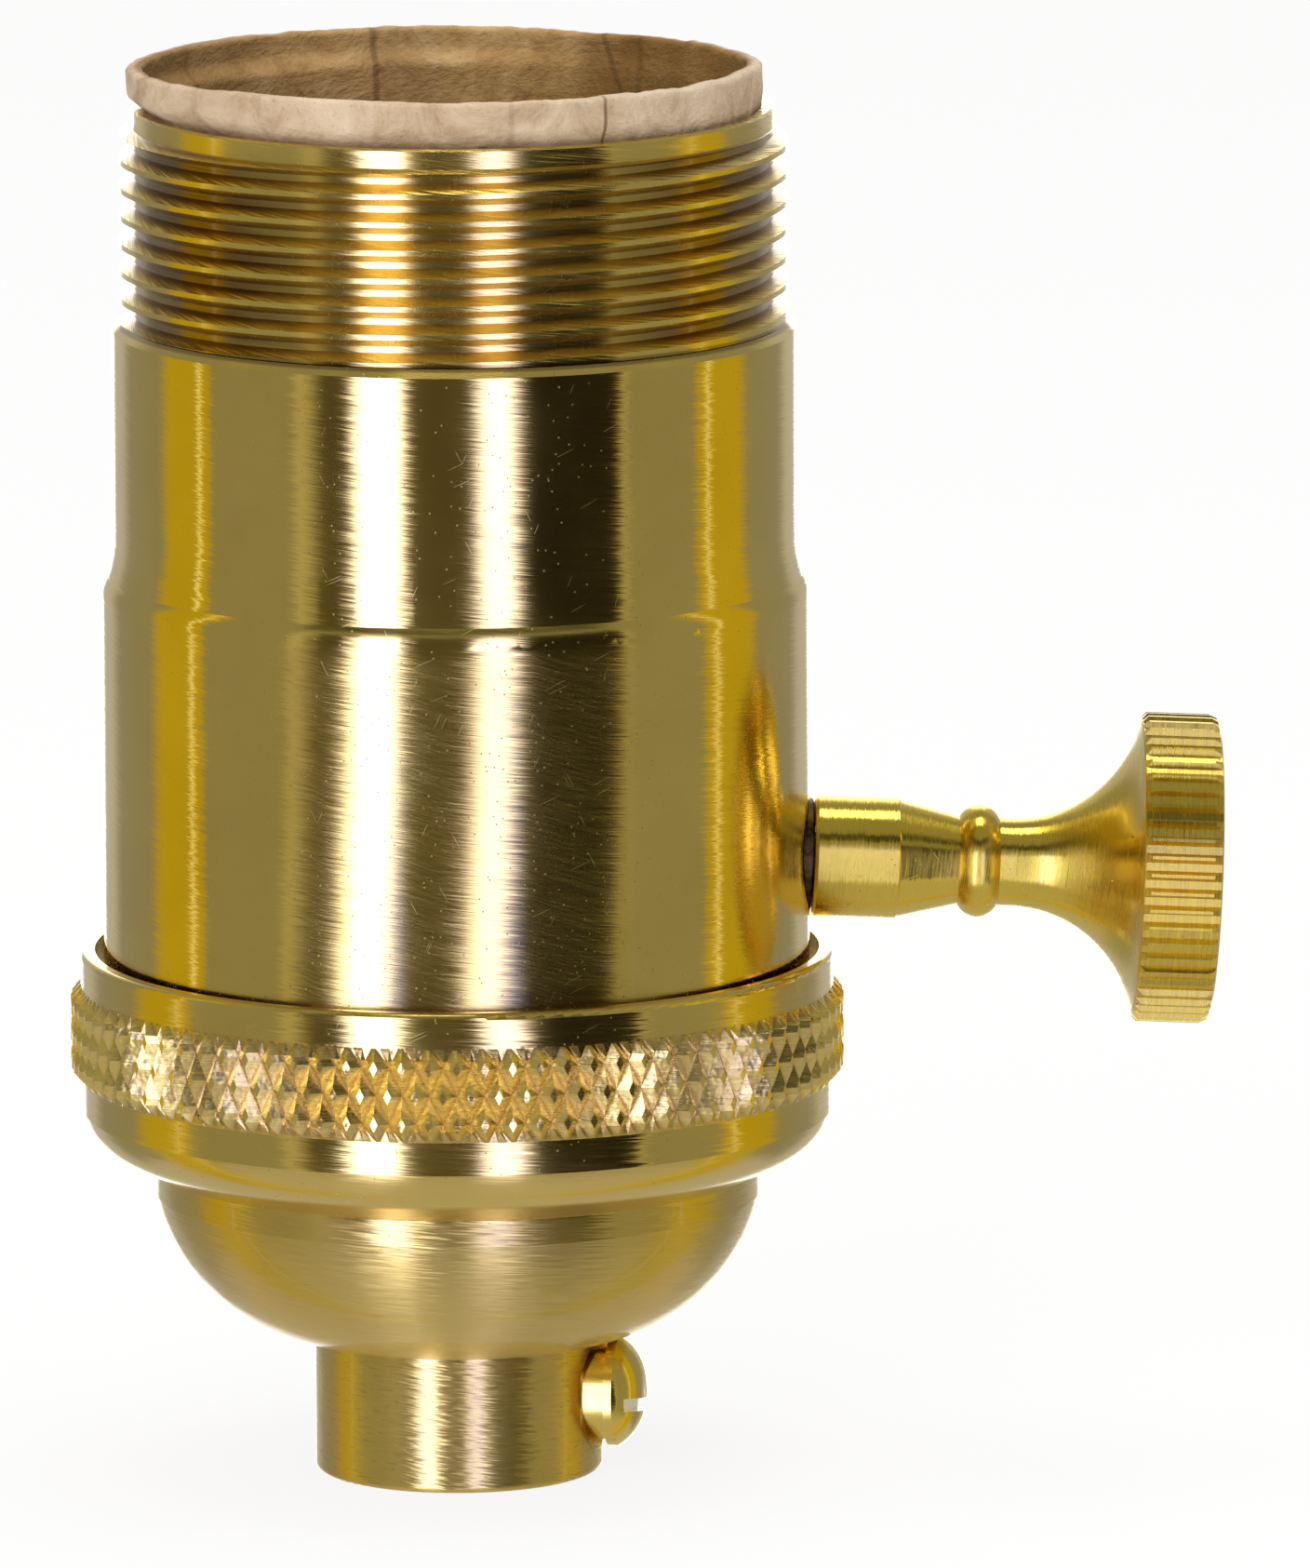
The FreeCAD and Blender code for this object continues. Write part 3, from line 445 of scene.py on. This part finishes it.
def brass(name, radius, rough, swing=0.06, lift=0.02, scratches=1.0, about_knob=False,
          slant=0.05, tone=BRASS, coat=0.6, change=None):
    """Turned brass. change(t, w, p) may adjust colour, roughness and swings by place.

    The brushing swings the normal round the axis and lifts it along the axis, by angles in radians.
    """
    m, t, b = material(name)
    w = Turned(t, radius, about_knob)
    streak = w.lines(230.0, 9000.0, slant)
    fine = w.lines(260.0, 17000.0, slant, detail=1.0)
    patch = t.noise(w.co, scale=160, detail=2, rough=0.6)
    pale = tuple(min(1.0, c * 1.04) for c in tone)
    dull = (tone[0] * 0.955, tone[1] * 0.935, tone[2] * 0.86)
    p = {
        "tint": t.ramp(patch, [(0.28, dull), (0.70, pale)]),
        "rough": t.step(patch, 0.3, 0.75, rough * 0.85, rough * 1.2),
        "swing": swing, "lift": lift, "mark": wear(t, w, scratches),
        "height": fine, "bump": 0.06,
    }
    if change:
        change(t, w, p)
    t.put(p["tint"], b.inputs["Base Color"])
    streak = t.math("SUBTRACT", streak, 0.5)
    fine = t.math("SUBTRACT", fine, 0.5)
    marked = t.math("MULTIPLY_ADD", p["mark"], 0.45, p["rough"])
    t.put(t.math("MULTIPLY_ADD", streak, rough, marked, clamp=True), b.inputs["Roughness"])
    across = t.math("MULTIPLY", t.math("ADD", t.math("MULTIPLY", streak, 1.2), fine), p["swing"])
    if "lean" in p:
        across = t.math("ADD", across, p["lean"])
    radial = t.tangent("X" if about_knob else "Z")
    swung = t.spin(t.normal(), w.axis, across)
    lifted = t.spin(swung, radial, t.math("MULTIPLY", fine, p["lift"]))
    t.put(t.bump(p["height"], p["bump"], FINE_BUMP, lifted), b.inputs["Normal"])
    b.inputs["Metallic"].default_value = 1.0
    b.inputs["Anisotropic"].default_value = 0.9
    b.inputs["Anisotropic Rotation"].default_value = 0.25
    b.inputs["Coat Weight"].default_value = coat
    b.inputs["Coat Roughness"].default_value = 0.06
    t.put(radial, b.inputs["Tangent"])
    return m


def shell_change(t, w, p):
    """Tool marks, painted shade in the thread's roots and in the groove where the thread runs out, hazy
    brushing and a slow lean on the body.
    """
    off_front = t.math("ABSOLUTE", w.angle)
    # the thread
    cut = t.step(w.z, THREAD_LOW - 0.0002, THREAD_LOW + 0.0002)
    in_thread = t.band(w.z, THREAD_LOW - 0.0004, THREAD_HIGH + 0.0003, 0.0002)
    # painted shade: the thread's roots darker brown, patchy, and darker at the sides than at the front
    root = t.math("MULTIPLY", t.step(w.r, THREAD_ROOT, THREAD_FLANK, 1, 0), in_thread)
    patchy = t.step(w.lines(60.0, 900.0, detail=3.0), 0.3, 0.62, 0.72, 1.0)
    side_shade = t.step(off_front, math.radians(18), math.radians(48), 0.22, 1.0)
    p["tint"] = t.mix(t.product(root, patchy, side_shade, 0.92), p["tint"], (0.19, 0.075, 0.010, 1))
    p["mark"] = t.math("MULTIPLY", p["mark"], t.math("MULTIPLY_ADD", cut, -0.8, 1.0))
    p["rough"] = t.math("MULTIPLY_ADD", cut, 0.13, p["rough"])
    tooled = t.math("SUBTRACT", cut, t.math("MULTIPLY", root, 0.6))
    p["lift"] = t.math("MULTIPLY_ADD", tooled, 1.1, p["lift"])
    # painted shade: a darker band in the groove where the thread runs out
    runout = t.band(w.z, THREAD_LOW - 0.0003, THREAD_LOW + 0.00012, 0.00015)
    p["tint"] = t.mix(t.math("MULTIPLY", runout, 0.7), p["tint"], (0.20, 0.12, 0.02, 1))
    # the body under the step: reflections lean, and the brushing is hazier
    front = t.step(off_front, math.radians(26), math.radians(40), 1, 0)
    on_body = t.step(w.z, STEP_LOW, STEP_HIGH, 1, 0)
    low = t.step(w.z, CAP_LIP, STEP_TOP, 1, 0)
    p["lean"] = t.product(t.math("MULTIPLY_ADD", low, 0.042, 0.012), on_body, front)
    hazy = t.math("MULTIPLY", front, t.math("SUBTRACT", 1.0, cut))
    haze = t.math("MULTIPLY_ADD", on_body, 0.06, 0.05)
    p["rough"] = t.math("MULTIPLY_ADD", hazy, haze, p["rough"])
    p["swing"] = t.math("MULTIPLY_ADD", t.math("MULTIPLY", hazy, on_body), 0.01, p["swing"])
    brushed = t.step(w.lines(260.0, 9500.0, 0.36), 0.42, 0.66)
    p["rough"] = t.math("MULTIPLY_ADD", t.product(brushed, on_body, front), 0.05, p["rough"])


def cap_change(t, w, p):
    """Polished rings, a satin bowl and hub, and a rolled knurl with painted shade in its roots."""
    bowl = t.band(w.z, HUB_TOP, BOWL_TOP, 0.0006)
    hub = t.step(w.z, HUB_TOP - 0.0003, HUB_TOP + 0.0002, 1, 0)
    satin = t.math("MAXIMUM", bowl, hub)
    p["rough"] = t.math("MULTIPLY_ADD", satin, 0.20, p["rough"])
    p["swing"] = t.math("MULTIPLY_ADD", satin, 0.10, p["swing"])
    p["lift"] = t.math("MULTIPLY_ADD", satin, 0.35, p["lift"])
    dash = t.step(w.lines(330.0, 5200.0), 0.30, 0.40, 1, 0)
    p["tint"] = t.mix(t.product(dash, hub, 0.35), p["tint"], (0.46, 0.30, 0.08, 1))
    knurl = t.product(t.band(w.z, KNURL_LOW, KNURL_HIGH, 0.0003), t.step(w.r, KNURL_EDGE, KNURL_ROOT))
    p["tint"] = t.mix(t.math("MULTIPLY", knurl, 0.8), p["tint"], (0.94, 0.70, 0.17, 1))
    # painted shade: the knurl darker down in its roots
    low = t.step(w.r, KNURL_ROOT, KNURL_PEAK, 1, 0)
    p["tint"] = t.mix(t.product(knurl, low, 0.5), p["tint"], (0.46, 0.28, 0.07, 1))
    p["rough"] = t.math("MULTIPLY_ADD", knurl, 0.10, p["rough"])
    p["height"] = t.math("MULTIPLY", t.noise(w.co, scale=1900, detail=1, rough=0.6), knurl)
    p["bump"] = 0.65


def knob_change(t, w, p):
    """Chatter marks across the flutes, and a slightly lumpy stem and flare."""
    rim = t.step(w.r, FLARE_EDGE, KNOB_RIM)
    chatter = t.step(w.lines(700.0, 6800.0, detail=1.0), 0.40, 0.55, 1, 0)
    p["tint"] = t.mix(t.product(chatter, rim, 0.3), p["tint"], (0.55, 0.38, 0.07, 1))
    p["rough"] = t.math("MULTIPLY_ADD", rim, 0.06, p["rough"])
    p["height"] = t.noise(w.co, scale=900, detail=2, rough=0.6)
    p["bump"] = 0.12


shell_brass = brass("brass_shell", 0.0195, 0.10, swing=0.045, slant=0.10, change=shell_change)
cap_brass = brass("brass_cap", 0.0214, 0.18, swing=0.07, lift=0.14, scratches=0.5, change=cap_change)
knob_brass = brass("brass_knob", 0.005, 0.24, swing=0.08, scratches=0.4, about_knob=True,
                   tone=KNOB_TONE, coat=0.45, change=knob_change)
screw_brass = brass("brass_screw", 0.003, 0.15, swing=0.03, scratches=1.2, tone=SCREW_TONE)
sheet_brass = brass("brass_sheet", 0.012, 0.2, swing=0.03, scratches=0.5)


def painted_shadow_brass():
    """Very dark brass: painted shadow for the gap round the stem's shaft."""
    m, t, b = material("brass_painted_shadow")
    n = t.noise(t.coord(), scale=2400, detail=3)
    t.put(t.ramp(n, [(0.35, (0.05, 0.03, 0.01)), (0.7, (0.22, 0.14, 0.045))]), b.inputs["Base Color"])
    t.put(t.step(n, 0.3, 0.7, 0.35, 0.6), b.inputs["Roughness"])
    b.inputs["Metallic"].default_value = 1.0
    return m


# ------------------------------------------------------------------ what lies inside
def patchy_surface(t, b, patch, colour, dark, rough, spread):
    """Colour from a darker share of itself to itself, and roughness either side of a middle."""
    t.put(t.ramp(patch, [(0.3, tuple(c * dark for c in colour)), (0.7, colour)]), b.inputs["Base Color"])
    t.put(t.step(patch, 0.3, 0.7, rough * (1 - spread), rough * (1 + spread)), b.inputs["Roughness"])


def plain_metal(name, colour, rough):
    m, t, b = material(name)
    w = Turned(t, 0.013)
    patchy_surface(t, b, t.noise(w.co, scale=300, detail=3), colour, 0.88, rough, 0.3)
    b.inputs["Metallic"].default_value = 1.0
    b.inputs["Anisotropic"].default_value = 0.4
    b.inputs["Anisotropic Rotation"].default_value = 0.25
    t.put(t.tangent(), b.inputs["Tangent"])
    t.put(t.bump(w.lines(90.0, 7000.0), 0.15, FINE_BUMP), b.inputs["Normal"])
    return m


def moulded(name, colour, rough):
    m, t, b = material(name)
    co = t.coord()
    patchy_surface(t, b, t.noise(co, scale=240, detail=3), colour, 0.7, rough, 0.2)
    t.put(t.bump(t.noise(co, scale=2600, detail=4, rough=0.6), 0.12, FINE_BUMP), b.inputs["Normal"])
    return m


# ------------------------------------------------------------------ paper
LINER_LO, LINER_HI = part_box("liner")
LINER_LIP = 0.07875                 # where the liner leaves the shell
LINER_RADIUS, LINER_WALL = 0.01745, 0.00092
SLIT = math.radians(26.6)           # the liner's seam, from the front to the right
FOLD = math.radians(8.5)            # a faint fold beside it
# Creases inside, drawn as painted shade: degrees from the back, strength, and lean over 4 mm of height in
# radians
CREASES = ((-13.5, 0.55, 0.0), (32.0, 0.5, 0.10), (42.0, 0.35, 0.0), (-58.0, 0.3, -0.05), (75.0, 0.3, 0.05))
CREASE_RUN = 0.004
PALE_PAPER = [(0.32, (0.37, 0.245, 0.135)), (0.48, (0.535, 0.39, 0.25)), (0.68, (0.68, 0.53, 0.375))]
# The inside's brown, darker and warmer than the outside, is partly the paper's colour and partly painted
# shade inside the tube.
BROWN_PAPER = [(0.30, (0.20, 0.10, 0.024)), (0.50, (0.40, 0.235, 0.08)), (0.70, (0.55, 0.36, 0.165))]


def inside_colour_and_shade(t, w, blot):
    """The liner's brown inside, with painted shade at its sides, deep down and to the right."""
    top = LINER_HI.z
    dark = t.ramp(blot, BROWN_PAPER)
    # painted shade at the sides of the inside
    sides = t.step(t.math("ABSOLUTE", t.math("SINE", w.angle)), 0.45, 0.95)
    dark = t.mix(t.math("MULTIPLY", sides, 0.78), dark, (0.20, 0.10, 0.012, 1))
    # painted shade deep down in the tube
    deep = t.step(w.z, top - 0.018, top - 0.001, 1, 0)
    dark = t.mix(t.math("MULTIPLY", deep, 0.6), dark, (0.10, 0.045, 0.008, 1))
    # painted shade on the inside to the right, dark and warm
    right_shade = t.band(w.angle, math.radians(125), math.radians(152), 0.12)
    return t.mix(t.math("MULTIPLY", right_shade, 0.65), dark, (0.16, 0.075, 0.006, 1))


def creases(t, w):
    """How much each place inside lies in a crease, which sets the painted shade there."""
    total = None
    under_top = t.math("SUBTRACT", w.z, LINER_HI.z)
    for from_back, strength, lean in CREASES:
        at = math.radians(180 - from_back)
        at = (at + math.pi) % (2 * math.pi) - math.pi
        line = t.math("MULTIPLY_ADD", under_top, lean / CREASE_RUN, at)
        away = t.math("ABSOLUTE", t.math("SUBTRACT", w.angle, line))
        one = t.step(away, 0.004, 0.018, strength, 0)
        total = one if total is None else t.math("MAXIMUM", total, one)
    return total


def liner_colour(t, w, blot, paper):
    """Pale outside and edge, brown inside, with painted shade on the left, in the creases, along the slit
    and fold, and at the foot.
    """
    face = t.split(t.normal())
    x, y = t.split(w.co)[:2]
    outward = t.math("ADD", t.math("MULTIPLY", face[0], x), t.math("MULTIPLY", face[1], y))
    inside = t.step(outward, -0.006, 0.004, 1, 0)
    outer = t.math("SUBTRACT", 1.0, inside)
    col = t.mix(inside, paper, inside_colour_and_shade(t, w, blot))
    # painted shade: the left of the liner darker, inside and out
    left = t.step(w.angle, math.radians(-20), math.radians(-75))
    col = t.mix(t.math("MULTIPLY", left, 0.16), col, (0.30, 0.2, 0.11, 1))
    # painted shade in the creases inside, uneven along them
    uneven_shade = t.step(t.noise(w.co, scale=90, detail=2), 0.35, 0.5, 0.5, 1)
    col = t.mix(t.product(creases(t, w), inside, uneven_shade), col, (0.09, 0.04, 0.01, 1))
    # painted shade along the slit and the fold on the outside
    slit = t.step(t.math("ABSOLUTE", t.math("SUBTRACT", w.angle, SLIT)), 0.0025, 0.008, 0.85, 0)
    fold = t.step(t.math("ABSOLUTE", t.math("SUBTRACT", w.angle, FOLD)), 0.003, 0.014, 0.22, 0)
    col = t.mix(t.product(t.math("MAXIMUM", slit, fold), outer), col, (0.15, 0.08, 0.03, 1))
    # painted shade at the foot, where the liner goes into the shell
    foot = t.step(w.z, LINER_LIP - 0.00007, LINER_LIP + 0.0004, 0.55, 0)
    col = t.mix(t.product(foot, outer), col, (0.12, 0.06, 0.02, 1))
    edge = t.step(w.z, LINER_HI.z - 0.0007, LINER_HI.z - 0.0002, 0, 0.3)
    return t.mix(t.product(edge, t.band(w.r, 0.0168, 0.0178, 0.0003)), col, (0.70, 0.60, 0.47, 1))


def kraft(name, is_liner):
    """Blotched brown paper board, with fibres round the tube and dark flecks."""
    m, t, b = material(name)
    w = Turned(t, 0.0175)
    blot = t.noise(w.co, scale=260, detail=6, rough=0.72, dist=0.6)
    fibre = w.lines(1500.0, 3200.0, 0.12, detail=3.0)
    col = t.ramp(blot, PALE_PAPER)
    if is_liner:
        col = liner_colour(t, w, blot, col)
    fleck = t.step(t.noise(w.co, scale=3100, detail=2, rough=0.7), 0.63, 0.72)
    col = t.mix(t.math("MULTIPLY", fleck, 0.4), col, (0.26, 0.16, 0.07, 1))
    t.put(col, b.inputs["Base Color"])
    b.inputs["Roughness"].default_value = 0.8
    height = t.math("MULTIPLY_ADD", fibre, 0.45, t.math("MULTIPLY", blot, 1.7))
    t.put(t.bump(height, 0.8, 0.00030), b.inputs["Normal"])
    return m


def wobble(a, size, third):
    """Noise round the tube: larger sizes give shorter waves."""
    return noise.noise(Vector((math.sin(a) * size, math.cos(a) * size, third)))


def liner_drop(a):
    """How far the liner's top edge lies under its highest point, at an angle from the front."""
    low = 0.00031 - 0.00029 * math.cos(a)
    low += 0.00006 * math.sin(3 * a + 0.7) + 0.00004 * math.sin(7 * a + 2.0)
    low += 0.00008 * wobble(a, 9, 3.1)
    low += 0.00005 * wobble(a, 31, 7.7)
    if SLIT < a < SLIT + 0.55:
        low -= 0.00006
    return max(0.00002, low)


def liner_push(a, z):
    """How far the wall stands out of the bore above the lip."""
    h = min(1.0, max(0.0, (z - LINER_LIP + 0.0001) / 0.0011))
    h = h * h * (3 - 2 * h)
    out = 0.00055 - 0.00052 * math.sin(a) + 0.00006 * math.sin(4 * a + 1.0) + 0.00004 * math.sin(9 * a)
    if SLIT - 0.006 < a < SLIT + 0.5:
        out += 0.00010 * (1 - (a - SLIT) / 0.55)
    return h * out


def liner_point(kind, k, a):
    """A point of the liner's section: up the outside, over the rounded edge and down the inside."""
    start, rounding = LINER_LIP - 0.0006, 0.00022
    peak = LINER_HI.z - liner_drop(a)
    z = start + (peak - rounding - start) * k if kind in ("near", "in_near") else k
    if kind == "edge":
        z = peak - rounding + rounding * math.sin(math.pi * k)
        r = LINER_RADIUS + liner_push(a, peak) - LINER_WALL / 2 + LINER_WALL / 2 * math.cos(math.pi * k)
    else:
        r = LINER_RADIUS + liner_push(a, z) - (LINER_WALL if kind in ("in", "in_near") else 0)
    if kind in ("in_near", "in"):
        r += 0.00010 * wobble(a, 8, z * 260)
    if kind in ("near", "edge"):
        r += 0.00009 * wobble(a, 16, z * 600)
    return r * math.sin(a), -r * math.cos(a), z


def liner():
    """The paper liner: pressed out of round above the lip, wavy, slit on one side and creased."""
    turns, tall, short, over = 480, 24, 14, 5
    foot, start = LINER_LO.z, LINER_LIP - 0.0006
    hole_half_angle, hole_half_height = 0.26, 0.0052
    rows = [("out", foot + (start - foot) * i / (tall - 1)) for i in range(tall)]
    rows += [("near", i / short) for i in range(1, short + 1)]
    rows += [("edge", i / over) for i in range(1, over)]
    rows += [("in_near", 1 - i / short) for i in range(short)]
    rows += [("in", start - (start - foot) * i / (tall - 1)) for i in range(tall)]
    verts = []
    for kind, k in rows:
        for j in range(turns):
            a = 2 * math.pi * (j + 0.5) / turns
            verts.append(liner_point(kind, k, a - 2 * math.pi if a > math.pi else a))
    faces = []
    for i in range(len(rows)):
        for j in range(turns):
            off_knob = abs(2 * math.pi * (j + 1) / turns - math.pi / 2)
            off_stem = abs(verts[i * turns + j][2] - KNOB_AT.z)
            foot_ring = i == len(rows) - 1
            if off_knob < hole_half_angle and off_stem < hole_half_height and not foot_ring:
                continue
            low, high, k = i * turns, (i + 1) % len(rows) * turns, (j + 1) % turns
            faces.append((low + j, low + k, high + k, high + j))
    me = bpy.data.meshes.new("paper_liner")
    me.from_pydata(verts, [], faces)
    me.polygons.foreach_set("use_smooth", [True] * len(me.polygons))
    me.update()
    bm = bmesh.new()
    bm.from_mesh(me)
    bmesh.ops.bridge_loops(bm, edges=[e for e in bm.edges if e.is_boundary])
    bmesh.ops.recalc_face_normals(bm, faces=bm.faces)
    bm.to_mesh(me)
    bm.free()
    o = add_piece(me, kraft("kraft_paper", True))
    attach(o, "holder")
    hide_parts("liner")


liner()


# ------------------------------------------------------------------ the hole for the stem, with a dark ring there as painted shadow
RIM_INNER, RIM_OUTER, RIM_DEPTH = 0.0023, 0.00325, 0.0009
RIM_GAP, RIM_BEVEL = 0.00006, 0.0001
RIM_SIDES = 96


def shadow_ring():
    """A low dark ring in the hole in the shell, round the shaft, just short of the turning stem: painted
    shadow for the gap there.
    """
    stem_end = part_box("knob")[0].x
    stem_radius = 0.0033
    foot = (stem_end + stem_radius * abs(KNOB_DIR.z)) / KNOB_DIR.x
    top, bottom = foot - RIM_GAP, foot - RIM_DEPTH
    profile = [(RIM_INNER, bottom), (RIM_INNER, top), (RIM_OUTER - RIM_BEVEL, top),
               (RIM_OUTER, top - RIM_BEVEL), (RIM_OUTER, bottom)]
    bm = bmesh.new()
    rings = []
    for i in range(RIM_SIDES):
        a = 2 * math.pi * i / RIM_SIDES
        rings.append([bm.verts.new((r * math.cos(a), r * math.sin(a), z)) for r, z in profile])
    for i, ring in enumerate(rings):
        after = rings[(i + 1) % RIM_SIDES]
        for j in range(len(profile)):
            k = (j + 1) % len(profile)
            bm.faces.new((ring[j], ring[k], after[k], after[j]))
    bmesh.ops.recalc_face_normals(bm, faces=bm.faces)
    me = bpy.data.meshes.new("stem_shadow_ring")
    bm.to_mesh(me)
    bm.free()
    me.transform(Matrix.Translation(KNOB_AT) @ KNOB_TURN.to_matrix().to_4x4())
    o = add_piece(me, painted_shadow_brass())
    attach(o, "holder")


shadow_ring()


# ------------------------------------------------------------------ dress the part's own pieces
nickel = plain_metal("nickel", (0.72, 0.70, 0.66), 0.22)
black = moulded("black_moulding", (0.030, 0.028, 0.026), 0.38)
cup_paper = kraft("kraft_cup", False)

DRESS = {
    "cap": cap_brass, "shell": shell_brass, "knob": knob_brass, "set_screw": screw_brass,
    "cap_insulator": cup_paper, "liner": cup_paper,
    "switch_body": black, "switch_cover": black, "rotor": black,
    "assembly_rivets": nickel, "lamp_shell": nickel, "neutral_terminal": nickel,
    "neutral_terminal_screw": nickel, "switch_shaft": nickel, "detent_spring": nickel,
    "centre_contact": sheet_brass, "contact_rivet": sheet_brass, "lamp_blade": sheet_brass,
    "hot_terminal": sheet_brass, "rotor_contact": sheet_brass,
    "hot_terminal_screw": screw_brass, "stem_bushing": screw_brass,
}
for name, mat in DRESS.items():
    o = NODES[name]
    o.data.materials.clear()
    o.data.materials.append(mat)
